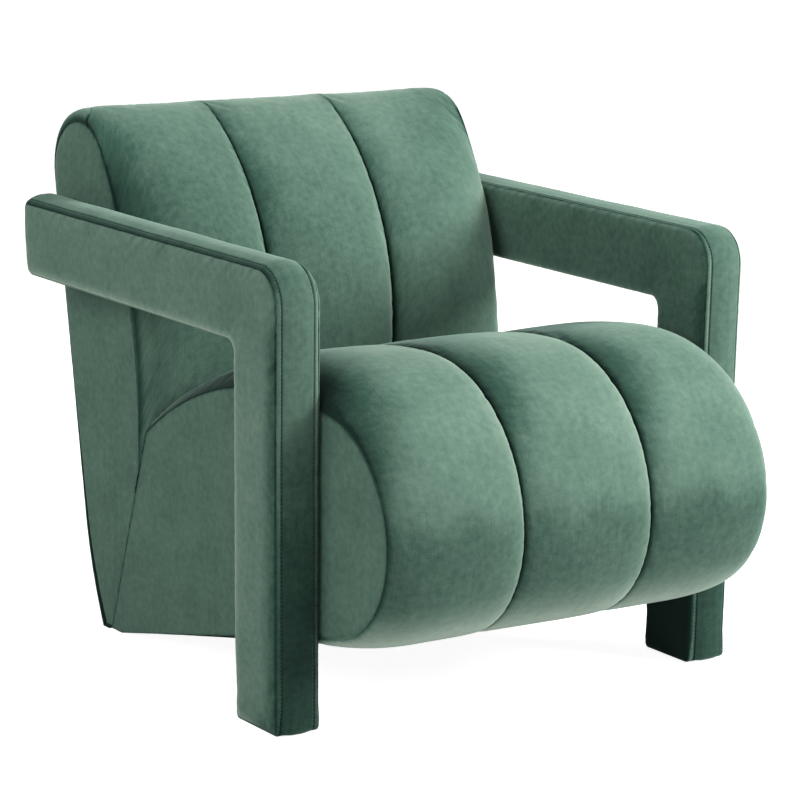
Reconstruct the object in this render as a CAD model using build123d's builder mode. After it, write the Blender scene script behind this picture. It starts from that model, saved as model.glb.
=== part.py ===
from build123d import *
import math
import os

os.makedirs("parts", exist_ok=True)

# Lounge armchair: two L-shaped arms, a channelled seat roll and a channelled wedge back between them.
# Sizes in mm. X runs across the chair, the front faces -Y and Z is up; left is -X, seen from the front.
# Set-backs are measured along Y from the front of the arm posts.

chair_width = 698
glide_height = 4

# Upholstery
cover = 2.0
clear = 0.3
side_pad = 10

# Arms
arm_thickness = 61
arm_length = 642
arm_height = 570
rail_height = 101
post_depth = 99
arm_corner_radius = 42
arm_inner_radius = 16
arm_end_radius = 10
arm_edge_radius = 8
arm_seam_inset = 4
arm_pad = 12
dowel_radius = 5
dowel_length = 60
dowel_spacing = 32

# Seat roll
seat_nose_reach = 147
seat_nose_height = 250
seat_crest_height = 433
seat_crest_setback = 78
seat_top_radius = 480
seat_side_drop = 30
seat_channel_crown = 21
seat_crown_setback = -15
seat_crown_radius = 800
seat_underside_angle = 12.3
seat_heel_setback = 492
seat_staple_setback = 10

# Plane where the seat meets the back, and the point where the two meet at the side
joint_setback = 436
joint_height = 254
joint_angle = 18.3

# Back
back_base_setback = 558
back_lean = 10.6
back_crest_height = 692
back_top_radius = 60
back_face_setback = 425
back_bend_height = 395
back_side_drop = 20
back_side_top_radius = 70
back_side_setback = 14
back_side_bend_height = 300
back_channel_crown = 20
back_crest_crown = 2
back_curl_height = 150
back_curl_radius = 579
back_crest_seam = 22

# Channels: three of equal width, each full for most of its width
channel_count = 3
channel_shoulder = 0.16
channel_fullness = 0.74

# Frame inside the seat
gable_thickness = 15
seat_frame_reach = 100
seat_frame_front = 325
seat_frame_rear = 215
seat_frame_chin = 178
seat_chin_run = 60
board_thickness = 22
seat_board_foot = 30
cross_rail_setback = 190
cross_rail_width = 60
cross_rail_height = 30
webbing_thickness = 2
seat_webbing_width = 60
seat_webbing_count = 5

# Frame inside the back
back_frame_foot = 60
back_frame_low = 200
back_frame_top = 615
back_frame_top_depth = 90
back_pad = 12
top_rail_height = 60
top_rail_thickness = 30
back_webbing_width = 50
back_webbing_count = 4

# Fasteners
bolt_radius = 3.7
bolt_hole_radius = 4.6
bolt_head_radius = 9
bolt_head_height = 4
bolt_socket_radius = 2.9
bolt_socket_depth = 2.5
nut_height = 6
insert_radius = 6
insert_bore_radius = 4
insert_length = 18
post_bolt_low = 150
post_bolt_spacing = 100
rail_bolt_edge = 18
rail_bolt_spacing = 32
joint_bolt_height = 130
joint_bolt_spread = 300

# Glides
post_glide_length = 56
post_glide_width = 30
rear_glide_radius = 12
rear_glide_setback = 505
rear_glide_spread = 480

inner_half = chair_width / 2 - arm_thickness
outer_half = chair_width / 2
underside = math.radians(seat_underside_angle)
joint_tilt = math.radians(joint_angle)
lean = math.radians(back_lean)
foam_half = inner_half - cover
gable_half = foam_half - side_pad
rail_half = gable_half - gable_thickness

# The rearmost line of the back and the crown of the nose set the depth, and the origin lies midway.
top_centre_height = back_crest_height + back_crest_crown - back_top_radius
top_centre_setback = (
    back_base_setback + top_centre_height * math.tan(lean) - back_top_radius / math.cos(lean)
)
rear_setback = top_centre_setback + back_top_radius
front_reach = seat_nose_reach + seat_channel_crown
datum = (front_reach - rear_setback) / 2


def side_plane(x):
    return Plane(origin=(x, datum, 0), x_dir=(0, 1, 0), z_dir=(1, 0, 0))


def toward(centre, radius, direction):
    length = math.hypot(direction[0], direction[1])
    return (centre[0] + radius * direction[0] / length, centre[1] + radius * direction[1] / length)


def arc_about(centre, radius, start, end):
    middle = (start[0] + end[0] - 2 * centre[0], start[1] + end[1] - 2 * centre[1])
    return ThreePointArc(start, toward(centre, radius, middle), end)


def joint_y(z, shift=0):
    return joint_setback + shift / math.cos(joint_tilt) - (z - joint_height) * math.tan(joint_tilt)


def underside_z(y, inset):
    return glide_height + inset / math.cos(underside) + (seat_heel_setback - y) * math.tan(underside)


def heel(inset):
    return (seat_heel_setback + inset * math.tan(underside / 2), glide_height + inset)


def rear_y(z, inset):
    return back_base_setback + z * math.tan(lean) - inset / math.cos(lean)


def curl_centre():
    reach = back_curl_radius * math.cos(lean)
    drop = back_curl_radius * math.sin(lean)
    return (rear_y(back_curl_height, 0) - reach, back_curl_height + drop)


def curl_y(z, inset):
    centre = curl_centre()
    return centre[0] + math.sqrt((back_curl_radius - inset) ** 2 - (z - centre[1]) ** 2)


# One upright slice through the seat roll: flat heel, sloping underside, round nose, long top arc.
def seat_section(x, reach, crest, setback, radius, inset, overrun):
    front = inset - reach
    rise = seat_nose_height - glide_height - (seat_heel_setback - front) * math.tan(underside)
    lower = (rise * math.cos(underside) - inset) / (1 - math.sin(underside))
    lower_centre = (front + lower, seat_nose_height)
    chin = toward(lower_centre, lower, (-math.sin(underside), -math.cos(underside)))
    nose = (front, seat_nose_height)
    run_back = setback + reach
    fall = seat_nose_height + radius - crest
    shoulder = (radius**2 - run_back**2 - fall**2) / (2 * (radius - run_back))
    upper = shoulder - inset
    upper_centre = (front + upper, seat_nose_height)
    top_z = crest - radius
    top_centre = (setback, top_z)
    top = radius - inset
    brow_way = (upper_centre[0] - top_centre[0], upper_centre[1] - top_centre[1])
    brow = toward(upper_centre, upper, brow_way)
    tilt = math.tan(joint_tilt)
    run = joint_y(0, overrun) - setback
    half = tilt * run + top_z
    rest = run**2 + top_z**2 - top**2
    end_z = (half + math.sqrt(half**2 - (1 + tilt**2) * rest)) / (1 + tilt**2)
    end = (joint_y(end_z, overrun), end_z)
    foot = (joint_y(glide_height + inset, overrun), glide_height + inset)
    with BuildSketch(side_plane(x)) as section:
        with BuildLine():
            Line(heel(inset), chin)
            arc_about(lower_centre, lower, chin, nose)
            arc_about(upper_centre, upper, nose, brow)
            arc_about(top_centre, top, brow, end)
            Line(end, foot)
            Line(foot, heel(inset))
        make_face()
    return section.sketch


# One upright slice through the back: joint plane, front face, round crest, leaning rear, curl to the floor.
def back_section(x, face, bend, crest, radius, inset, overrun):
    centre_z = crest - radius
    centre = (rear_y(centre_z, radius), centre_z)
    across = face - centre[0]
    down = bend - centre_z
    front_radius = (radius**2 - across**2 - down**2) / (2 * (across + radius))
    front_centre = (face + front_radius, bend)
    front = face + inset
    low_z = joint_height + (joint_y(joint_height, -overrun) - front) / math.tan(joint_tilt)
    bend_point = (front, bend)
    top = radius - inset
    brow = toward(centre, top, (centre[0] - front_centre[0], centre[1] - front_centre[1]))
    rear = toward(centre, top, (math.cos(lean), -math.sin(lean)))
    curl = curl_centre()
    curl_top = toward(curl, back_curl_radius - inset, (math.cos(lean), -math.sin(lean)))
    foot_z = glide_height + inset
    foot_rear = (curl_y(foot_z, inset), foot_z)
    foot_front = (joint_y(foot_z, -overrun), foot_z)
    with BuildSketch(side_plane(x)) as section:
        with BuildLine():
            Line((front, low_z), bend_point)
            arc_about(front_centre, front_radius - inset, bend_point, brow)
            arc_about(centre, top, brow, rear)
            Line(rear, curl_top)
            arc_about(curl, back_curl_radius - inset, curl_top, foot_rear)
            Line(foot_rear, foot_front)
            Line(foot_front, (front, low_z))
        make_face()
    return section.sketch


def blend(edge, crown, share):
    return edge + share * (crown - edge)


def seat_slice(x, at_side, share, inset, overrun):
    crest = seat_crest_height - seat_side_drop * at_side
    return seat_section(
        x,
        blend(seat_nose_reach, seat_nose_reach + seat_channel_crown, share),
        blend(crest, seat_crest_height + seat_channel_crown, share),
        blend(seat_crest_setback, seat_crown_setback, share),
        blend(seat_top_radius, seat_crown_radius, share),
        inset,
        overrun,
    )


def back_slice(x, at_side, share, inset, overrun):
    face = back_face_setback + back_side_setback * at_side
    crest = back_crest_height - back_side_drop * at_side
    edge_bend = back_side_bend_height if at_side else back_bend_height
    edge_radius = back_side_top_radius if at_side else back_top_radius
    return back_section(
        x,
        blend(face, back_face_setback - back_channel_crown, share),
        blend(edge_bend, back_bend_height, share),
        blend(crest, back_crest_height + back_crest_crown, share),
        blend(edge_radius, back_top_radius, share),
        inset,
        overrun,
    )


# Three swelling channels side by side; the creases between them are the sewn seams.
def channelled(slice_at, half, inset, overrun):
    pitch = 2 * inner_half / channel_count
    with BuildPart() as form:
        for channel in range(channel_count):
            left_side = channel == 0
            right_side = channel == channel_count - 1
            left = -inner_half + channel * pitch
            right = left + pitch
            step = channel_shoulder * pitch
            slices = [
                slice_at(-half if left_side else left, left_side, 0, inset, overrun),
                slice_at(left + step, left_side, channel_fullness, inset, overrun),
                slice_at((left + right) / 2, left_side, 1, inset, overrun),
                slice_at(right - step, right_side, channel_fullness, inset, overrun),
                slice_at(half if right_side else right, right_side, 0, inset, overrun),
            ]
            loft(sections=slices)
    return form.part


def plate(points, x, thickness):
    with BuildPart() as slab:
        with BuildSketch(side_plane(x)):
            with BuildLine():
                Polyline(*points, close=True)
            make_face()
        extrude(amount=thickness)
    return slab.part


def rods(points, radius, x, length):
    with BuildPart() as bars:
        with BuildSketch(side_plane(x)):
            with Locations(*points):
                Circle(radius)
        extrude(amount=length)
    return bars.part


def keep(piece, name):
    piece.part.label = name
    export_step(piece.part, f"parts/{name}.step")


def keep_pair(piece, name):
    keep(piece, f"{name}_right")
    with BuildPart() as twin:
        mirror(piece.part, about=Plane.YZ)
    keep(twin, f"{name}_left")


# Arms, made on the right and mirrored
rail_bolt_setback = arm_length - arm_pad - rail_bolt_edge
rail_middle = arm_height - rail_height / 2
arm_bolts_at = [
    (post_depth / 2, post_bolt_low),
    (post_depth / 2, post_bolt_low + post_bolt_spacing),
    (rail_bolt_setback, rail_middle - rail_bolt_spacing / 2),
    (rail_bolt_setback, rail_middle + rail_bolt_spacing / 2),
]
wood_near = inner_half + arm_pad
wood_far = outer_half - arm_pad


def arm_form(inset):
    top = arm_height - inset
    under = arm_height - rail_height + inset
    rear = arm_length - inset
    foot = glide_height + inset
    inside = post_depth - inset
    with BuildPart() as form:
        with BuildSketch(side_plane(inner_half + inset)) as outline:
            with BuildLine():
                Polyline(
                    (inset, foot), (inside, foot), (inside, under), (rear, under), (rear, top), (inset, top),
                    close=True,
                )
            make_face()
            front_top = outline.vertices().sort_by(lambda v: v.X - v.Y)[0]
            crook = outline.vertices().sort_by_distance((inside, under, 0))[0]
            ends = outline.vertices().group_by(Axis.X)[-1]
            fillet(front_top, arm_corner_radius - inset)
            fillet(crook, arm_inner_radius + inset)
            fillet(ends, arm_end_radius - inset)
        extrude(amount=arm_thickness - 2 * inset)
        faces = form.faces().filter_by(Axis.X)
        fillet(faces.edges(), arm_edge_radius - inset)
    return form.part


arm_hull = arm_form(0)
arm_lining = arm_form(cover)
arm_bolt_paths = rods(arm_bolts_at, bolt_hole_radius, 0, wood_near)
insert_sockets = rods(arm_bolts_at, insert_radius + clear, wood_near, insert_length)

with BuildPart() as arm_cover:
    add(arm_hull)
    add(arm_lining, mode=Mode.SUBTRACT)

with BuildPart() as arm_outer_panel:
    add(arm_cover.part)
    split(bisect_by=Plane.YZ.offset(outer_half - arm_seam_inset), keep=Keep.TOP)
keep_pair(arm_outer_panel, "arm_outer_panel")

with BuildPart() as arm_boxing:
    add(arm_cover.part)
    split(bisect_by=Plane.YZ.offset(outer_half - arm_seam_inset), keep=Keep.BOTTOM)
    split(bisect_by=Plane.YZ.offset(inner_half + arm_seam_inset), keep=Keep.TOP)
keep_pair(arm_boxing, "arm_boxing")

with BuildPart() as arm_inner_panel:
    add(arm_cover.part)
    split(bisect_by=Plane.YZ.offset(inner_half + arm_seam_inset), keep=Keep.BOTTOM)
    add(arm_bolt_paths, mode=Mode.SUBTRACT)
keep_pair(arm_inner_panel, "arm_inner_panel")

rail_under = arm_height - rail_height + arm_pad
rail_points = [
    (arm_pad, rail_under),
    (arm_length - arm_pad, rail_under),
    (arm_length - arm_pad, arm_height - arm_pad),
    (arm_pad + arm_corner_radius / 2, arm_height - arm_pad),
    (arm_pad, arm_height - arm_pad - arm_corner_radius / 2),
]
post_foot = glide_height + cover + clear
post_points = [
    (arm_pad, post_foot),
    (post_depth - arm_pad, post_foot),
    (post_depth - arm_pad, rail_under),
    (arm_pad, rail_under),
]
arm_wood = wood_far - wood_near
rail_block = plate(rail_points, wood_near, arm_wood)
post_block = plate(post_points, wood_near, arm_wood)

with BuildPart() as dowel_holes:
    with BuildSketch(Plane.XY.offset(rail_under - dowel_length / 2)):
        with Locations(((wood_near + wood_far) / 2, datum + post_depth / 2)):
            with GridLocations(0, dowel_spacing, 1, 2):
                Circle(dowel_radius + clear)
    extrude(amount=dowel_length)

with BuildPart() as arm_dowels:
    with BuildSketch(Plane.XY.offset(rail_under - dowel_length / 2)):
        with Locations(((wood_near + wood_far) / 2, datum + post_depth / 2)):
            with GridLocations(0, dowel_spacing, 1, 2):
                Circle(dowel_radius)
    extrude(amount=dowel_length)
keep_pair(arm_dowels, "arm_dowels")

with BuildPart() as arm_rail:
    add(rail_block)
    add(dowel_holes.part, mode=Mode.SUBTRACT)
    add(insert_sockets, mode=Mode.SUBTRACT)
keep_pair(arm_rail, "arm_rail")

with BuildPart() as arm_post:
    add(post_block)
    add(dowel_holes.part, mode=Mode.SUBTRACT)
    add(insert_sockets, mode=Mode.SUBTRACT)
keep_pair(arm_post, "arm_post")

with BuildPart() as arm_foam:
    add(arm_form(cover + clear))
    add(rail_block, mode=Mode.SUBTRACT)
    add(post_block, mode=Mode.SUBTRACT)
    add(arm_bolt_paths, mode=Mode.SUBTRACT)
keep_pair(arm_foam, "arm_foam")

with BuildPart() as post_glide:
    with BuildSketch(Plane.XY):
        with Locations(((inner_half + outer_half) / 2, datum + post_depth / 2)):
            RectangleRounded(post_glide_width, post_glide_length, post_glide_width / 4)
    extrude(amount=glide_height)
keep_pair(post_glide, "post_glide")

# Fasteners that hold each arm: wide-headed bolts from inside the gables into threaded inserts in the wood
head_x = rail_half - bolt_head_height
with BuildPart() as arm_bolts:
    add(rods(arm_bolts_at, bolt_radius, rail_half, wood_near + insert_length - rail_half))
    add(rods(arm_bolts_at, bolt_head_radius, head_x, bolt_head_height))
    with BuildSketch(side_plane(head_x)):
        with Locations(*arm_bolts_at):
            RegularPolygon(bolt_socket_radius, 6)
    extrude(amount=bolt_socket_depth, mode=Mode.SUBTRACT)
keep_pair(arm_bolts, "arm_bolts")

with BuildPart() as arm_inserts:
    add(rods(arm_bolts_at, insert_radius, wood_near, insert_length))
    add(rods(arm_bolts_at, insert_bore_radius, wood_near, insert_length), mode=Mode.SUBTRACT)
keep_pair(arm_inserts, "arm_inserts")


# Seat roll
seat_hull = channelled(seat_slice, inner_half, 0, 0)
seat_lining = channelled(seat_slice, inner_half + clear, cover, clear)
gable_bolt_paths = rods(arm_bolts_at, bolt_hole_radius, 0, inner_half)
under_points = [
    (seat_staple_setback, underside_z(seat_staple_setback, 0)),
    heel(0),
    (joint_y(glide_height), glide_height),
    (joint_y(glide_height + cover), glide_height + cover),
    heel(cover),
    (seat_staple_setback, underside_z(seat_staple_setback, cover)),
]
under_sheet = plate(under_points, -inner_half, 2 * inner_half)

with BuildPart() as under_gap:
    add(under_sheet)
    with Locations((0, 0, -cover)):
        add(under_sheet)
    with Locations((0, 0, clear)):
        add(under_sheet)

with BuildPart() as seat_cover:
    add(seat_hull)
    add(seat_lining, mode=Mode.SUBTRACT)
    add(under_gap.part, mode=Mode.SUBTRACT)
keep(seat_cover, "seat_cover")

with BuildPart() as seat_dust_cover:
    add(under_sheet)
keep(seat_dust_cover, "seat_dust_cover")

# The foam and the two end panels share one form inside the cover, parted at the panels' inner faces.
seat_filling = channelled(seat_slice, inner_half + clear, cover + clear, 0)

with BuildPart() as seat_side_panel:
    add(seat_filling)
    split(bisect_by=Plane.YZ.offset(foam_half), keep=Keep.TOP)
    split(bisect_by=Plane.YZ.offset(inner_half), keep=Keep.BOTTOM)
    add(gable_bolt_paths, mode=Mode.SUBTRACT)
keep_pair(seat_side_panel, "seat_side_panel")

# Hollow for the seat frame, open below and at the rear
frame_fall = (seat_frame_front - seat_frame_rear) / (joint_y(seat_frame_rear) + seat_frame_reach)


def seat_frame_z(y, drop=0):
    return seat_frame_front - (y + seat_frame_reach) * frame_fall - drop


hollow_points = [
    (-seat_frame_reach, 0),
    (-seat_frame_reach, seat_frame_front),
    (joint_y(seat_frame_rear), seat_frame_rear),
    (joint_y(0, seat_frame_reach), seat_frame_rear),
    (joint_y(0, seat_frame_reach), 0),
]
with BuildPart() as seat_foam:
    add(seat_filling)
    split(bisect_by=Plane.YZ.offset(foam_half), keep=Keep.BOTTOM)
    split(bisect_by=Plane.YZ.offset(-foam_half), keep=Keep.TOP)
    add(plate(hollow_points, -gable_half, 2 * gable_half), mode=Mode.SUBTRACT)
    add(gable_bolt_paths, mode=Mode.SUBTRACT)
    add(gable_bolt_paths.mirror(Plane.YZ), mode=Mode.SUBTRACT)
keep(seat_foam, "seat_foam")

chin_setback = seat_chin_run - seat_frame_reach
heel_point = heel(cover + clear)
seat_gable_points = [
    (-seat_frame_reach, seat_frame_chin),
    (-seat_frame_reach, seat_frame_front),
    (joint_y(seat_frame_rear), seat_frame_rear),
    (joint_y(heel_point[1]), heel_point[1]),
    heel_point,
    (chin_setback, underside_z(chin_setback, cover + clear)),
]
with BuildPart() as seat_gable:
    add(plate(seat_gable_points, rail_half, gable_thickness))
    add(gable_bolt_paths, mode=Mode.SUBTRACT)
keep_pair(seat_gable, "seat_gable")

front_inside = board_thickness - seat_frame_reach
front_board_points = [
    (-seat_frame_reach, seat_frame_chin),
    (-seat_frame_reach, seat_frame_z(-seat_frame_reach, webbing_thickness)),
    (front_inside, seat_frame_z(front_inside, webbing_thickness)),
    (front_inside, seat_frame_chin),
]
with BuildPart() as seat_front_board:
    add(plate(front_board_points, -rail_half, 2 * rail_half))
keep(seat_front_board, "seat_front_board")


# A board that lies along the joint plane, between two heights, on one side of the plane
def joint_board(low, high, thickness):
    points = [
        (joint_y(low), low),
        (joint_y(high), high),
        (joint_y(high, thickness), high),
        (joint_y(low, thickness), low),
    ]
    return plate(points, -rail_half, 2 * rail_half)


joint_normal = (0, math.cos(joint_tilt), math.sin(joint_tilt))
joint_bolt_centre = (0, datum + joint_y(joint_bolt_height), joint_bolt_height)
joint_bolt_plane = Plane(origin=joint_bolt_centre, x_dir=(1, 0, 0), z_dir=joint_normal)


def joint_rods(radius, start, end):
    with BuildPart() as bars:
        with BuildSketch(joint_bolt_plane.offset(start)):
            with GridLocations(joint_bolt_spread, 0, 2, 1):
                Circle(radius)
        extrude(amount=end - start)
    return bars.part


with BuildPart() as seat_rear_board:
    add(joint_board(seat_board_foot, seat_frame_rear - webbing_thickness, -board_thickness))
    add(joint_rods(bolt_hole_radius, -2 * board_thickness, 0), mode=Mode.SUBTRACT)
keep(seat_rear_board, "seat_rear_board")

cross_end = cross_rail_setback + cross_rail_width
cross_points = [
    (cross_rail_setback, underside_z(cross_rail_setback, cover + clear)),
    (cross_end, underside_z(cross_end, cover + clear)),
    (cross_end, underside_z(cross_end, cover + clear) + cross_rail_height),
    (cross_rail_setback, underside_z(cross_rail_setback, cover + clear) + cross_rail_height),
]
with BuildPart() as seat_cross_rail:
    add(plate(cross_points, -rail_half, 2 * rail_half))
keep(seat_cross_rail, "seat_cross_rail")

webbing_end = joint_y(seat_frame_rear)
strap_points = [
    (-seat_frame_reach, seat_frame_z(-seat_frame_reach, webbing_thickness)),
    (-seat_frame_reach, seat_frame_z(-seat_frame_reach)),
    (webbing_end, seat_frame_z(webbing_end)),
    (webbing_end, seat_frame_z(webbing_end, webbing_thickness)),
]
strap_pitch = 2 * rail_half / seat_webbing_count
with BuildPart() as seat_webbing:
    for strap in range(seat_webbing_count):
        strap_x = (strap + 0.5) * strap_pitch - rail_half - seat_webbing_width / 2
        add(plate(strap_points, strap_x, seat_webbing_width))
keep(seat_webbing, "seat_webbing")

with BuildPart() as rear_glides:
    with BuildSketch(Plane.XY):
        with Locations((0, datum + rear_glide_setback)):
            with GridLocations(rear_glide_spread, 0, 2, 1):
                Circle(rear_glide_radius)
    extrude(amount=glide_height)
keep(rear_glides, "rear_glides")

# Back
back_hull = channelled(back_slice, inner_half, 0, 0)
back_lining = channelled(back_slice, inner_half + clear, cover, clear)
seam_height = back_crest_height
seam_setback = rear_y(seam_height - back_top_radius, back_top_radius) - back_crest_seam
seam_foot = joint_y(glide_height, -cover)
seam_across = (0, seam_height - glide_height, seam_foot - seam_setback)
seam_plane = Plane(origin=(0, datum + seam_foot, glide_height), x_dir=(1, 0, 0), z_dir=seam_across)

with BuildPart() as back_skin:
    add(back_hull)
    add(back_lining, mode=Mode.SUBTRACT)

with BuildPart() as back_cover:
    add(back_skin.part)
    split(bisect_by=seam_plane, keep=Keep.BOTTOM)
keep(back_cover, "back_cover")

with BuildPart() as outside_back:
    add(back_skin.part)
    split(bisect_by=seam_plane, keep=Keep.TOP)
keep(outside_back, "outside_back")

back_filling = channelled(back_slice, inner_half + clear, cover + clear, 0)

with BuildPart() as back_side_panel:
    add(back_filling)
    split(bisect_by=Plane.YZ.offset(foam_half), keep=Keep.TOP)
    split(bisect_by=Plane.YZ.offset(inner_half), keep=Keep.BOTTOM)
    add(gable_bolt_paths, mode=Mode.SUBTRACT)
keep_pair(back_side_panel, "back_side_panel")

# Hollow for the back frame, open at the joint plane
frame_rear_top = rear_y(back_frame_top, back_pad)
frame_low = (joint_y(back_frame_low), back_frame_low)
frame_high = (frame_rear_top - back_frame_top_depth, back_frame_top)
frame_rear = [
    (frame_rear_top, back_frame_top),
    (rear_y(back_curl_height, back_pad), back_curl_height),
    (curl_y(back_frame_foot, back_pad), back_frame_foot),
]
hollow_mouth = [
    (joint_y(back_frame_foot, -back_pad), back_frame_foot),
    (joint_y(back_frame_low, -back_pad), back_frame_low),
]
back_hollow_points = [frame_low, frame_high] + frame_rear + hollow_mouth
with BuildPart() as back_foam:
    add(back_filling)
    split(bisect_by=Plane.YZ.offset(foam_half), keep=Keep.BOTTOM)
    split(bisect_by=Plane.YZ.offset(-foam_half), keep=Keep.TOP)
    add(plate(back_hollow_points, -gable_half, 2 * gable_half), mode=Mode.SUBTRACT)
    add(gable_bolt_paths, mode=Mode.SUBTRACT)
    add(gable_bolt_paths.mirror(Plane.YZ), mode=Mode.SUBTRACT)
keep(back_foam, "back_foam")

# The webbing lies on the front edges of the back gables, in the thickness taken off them.
front_length = math.hypot(frame_high[0] - frame_low[0], frame_high[1] - frame_low[1])
front_way = ((frame_high[0] - frame_low[0]) / front_length, (frame_high[1] - frame_low[1]) / front_length)


def frame_front(distance, depth):
    return (
        frame_low[0] + distance * front_way[0] + depth * front_way[1],
        frame_low[1] + distance * front_way[1] - depth * front_way[0],
    )


gable_low = frame_front(0, webbing_thickness)
gable_high = frame_front(front_length, webbing_thickness)
gable_foot = (joint_y(back_frame_foot), back_frame_foot)
with BuildPart() as back_gable:
    add(plate([gable_low, gable_high] + frame_rear + [gable_foot, frame_low], rail_half, gable_thickness))
    add(gable_bolt_paths, mode=Mode.SUBTRACT)
keep_pair(back_gable, "back_gable")

with BuildPart() as back_lower_board:
    add(joint_board(back_frame_foot, back_frame_low, board_thickness))
    add(joint_rods(bolt_hole_radius, 0, 2 * board_thickness), mode=Mode.SUBTRACT)
keep(back_lower_board, "back_lower_board")

top_rail_low = front_length - top_rail_height
top_rail_points = [
    frame_front(top_rail_low, webbing_thickness),
    frame_front(front_length - webbing_thickness, webbing_thickness),
    frame_front(front_length - webbing_thickness, webbing_thickness + top_rail_thickness),
    frame_front(top_rail_low, webbing_thickness + top_rail_thickness),
]
with BuildPart() as back_top_rail:
    add(plate(top_rail_points, -rail_half, 2 * rail_half))
keep(back_top_rail, "back_top_rail")

back_pitch = top_rail_low / back_webbing_count
with BuildPart() as back_webbing:
    for strap in range(back_webbing_count):
        low = (strap + 0.5) * back_pitch
        high = low + back_webbing_width
        points = [frame_front(low, 0), frame_front(high, 0)]
        points += [frame_front(high, webbing_thickness), frame_front(low, webbing_thickness)]
        add(plate(points, -gable_half, 2 * gable_half))
keep(back_webbing, "back_webbing")

# Bolts through the two boards at the joint plane
nut_end = board_thickness + nut_height
with BuildPart() as joint_bolts:
    add(joint_rods(bolt_radius, -board_thickness, nut_end))
    add(joint_rods(bolt_head_radius, -board_thickness - bolt_head_height, -board_thickness))
keep(joint_bolts, "joint_bolts")

with BuildPart() as joint_nuts:
    add(joint_rods(bolt_head_radius, board_thickness, nut_end))
    add(joint_rods(insert_bore_radius, board_thickness, nut_end), mode=Mode.SUBTRACT)
keep(joint_nuts, "joint_nuts")
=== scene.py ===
import bisect
import bpy
import bmesh
from math import asin, atan2, ceil, cos, exp, pi, radians, sin, sqrt, tan
from mathutils import Matrix, Vector, noise


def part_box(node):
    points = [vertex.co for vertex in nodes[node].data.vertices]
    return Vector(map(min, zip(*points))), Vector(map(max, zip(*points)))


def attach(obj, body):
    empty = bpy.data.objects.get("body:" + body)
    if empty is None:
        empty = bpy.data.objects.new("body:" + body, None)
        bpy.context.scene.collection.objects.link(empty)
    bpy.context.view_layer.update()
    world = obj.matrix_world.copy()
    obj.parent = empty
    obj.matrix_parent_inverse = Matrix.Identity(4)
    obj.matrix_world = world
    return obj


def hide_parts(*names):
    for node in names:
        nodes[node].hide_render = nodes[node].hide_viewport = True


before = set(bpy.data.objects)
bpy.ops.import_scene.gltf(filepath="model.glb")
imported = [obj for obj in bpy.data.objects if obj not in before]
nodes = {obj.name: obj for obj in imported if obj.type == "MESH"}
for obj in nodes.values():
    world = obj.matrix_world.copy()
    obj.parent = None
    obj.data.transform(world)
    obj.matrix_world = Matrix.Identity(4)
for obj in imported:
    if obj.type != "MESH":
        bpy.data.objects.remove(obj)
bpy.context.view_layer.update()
scene = bpy.context.scene

# Places read from the frame. Set-backs below run along Y from the front of the arm posts.
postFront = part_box("arm_boxing_right")[0].y
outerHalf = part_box("arm_outer_panel_right")[1].x
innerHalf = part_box("seat_side_panel_right")[1].x
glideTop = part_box("rear_glides")[1].z
print("frame loaded, post front at", round(postFront, 4))

half = innerHalf - 0.003  # to the sewn edges
armLean = {"splay": 0.0121, "atFloor": 0.004}
spreadFrom = 0.12  # where the right-hand end begins to differ
armInner, armOuter = innerHalf - 0.0015, outerHalf - 0.0005
hem = 0.0005  # height of the sewn edges at the floor
joint = {"setback": 0.4400, "height": 0.254, "angle": radians(18.7), "tuck": 0.030}  # seat meets back
channels = {"count": 3, "columns": 46, "stitchDip": 0.16, "tucks": (0.002, 0.005, 0.009), "spacing": 0.0045,
            "gather": 0.0009, "soft": 0.0014, "even": 0.02}
sides = {-1: "left", 1: "right"}


def jointSetback(height):
    return joint["setback"] - (height - joint["height"]) * tan(joint["angle"])


def armShift(height):
    return height * armLean["splay"] - armLean["atFloor"]


def blendTo(edge, crown, share):
    return edge + share * (crown - edge)


def easeIn(value, low, high):
    share = min(1.0, max(0.0, (value - low) / (high - low)))
    return share * share * (3 - 2 * share)


def within(value, rise, fall):
    return easeIn(value, *rise) * (1 - easeIn(value, *fall))


# A side-on line of straight runs and arcs. A row is the number of a piece plus the share along it.
class Outline:
    def __init__(self):
        self.pieces = []

    def run(self, start, end):
        start, end = Vector(start), Vector(end)
        self.pieces.append({"start": start, "end": end, "length": (end - start).length})

    def arc(self, centre, radius, start, end):
        self.pieces.append({"centre": Vector(centre), "radius": radius, "from": start, "to": end,
                            "length": abs(end - start) * radius})

    def at(self, row):
        number = min(int(row), len(self.pieces) - 1)
        share = row - number
        piece = self.pieces[number]
        if "radius" in piece:
            angle = blendTo(piece["from"], piece["to"], share)
            spoke = Vector((cos(angle), sin(angle)))
            outward = spoke if piece["to"] < piece["from"] else -spoke
            return piece["centre"] + spoke * piece["radius"], outward
        way = (piece["end"] - piece["start"]).normalized()
        return piece["start"].lerp(piece["end"], share), Vector((-way.y, way.x))

    def along(self, row):
        number = min(int(row), len(self.pieces) - 1)
        before = sum(piece["length"] for piece in self.pieces[:number])
        return before + (row - number) * self.pieces[number]["length"]

    def rowAt(self, length):
        for number, piece in enumerate(self.pieces):
            if length <= piece["length"]:
                return number + length / piece["length"]
            length -= piece["length"]
        return len(self.pieces)

    def rows(self, spacing, least=6):
        found = []
        for number, piece in enumerate(self.pieces):
            count = max(least, ceil(piece["length"] / spacing))
            found += [number + step / count for step in range(count)]
        return found + [len(self.pieces)]


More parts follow.
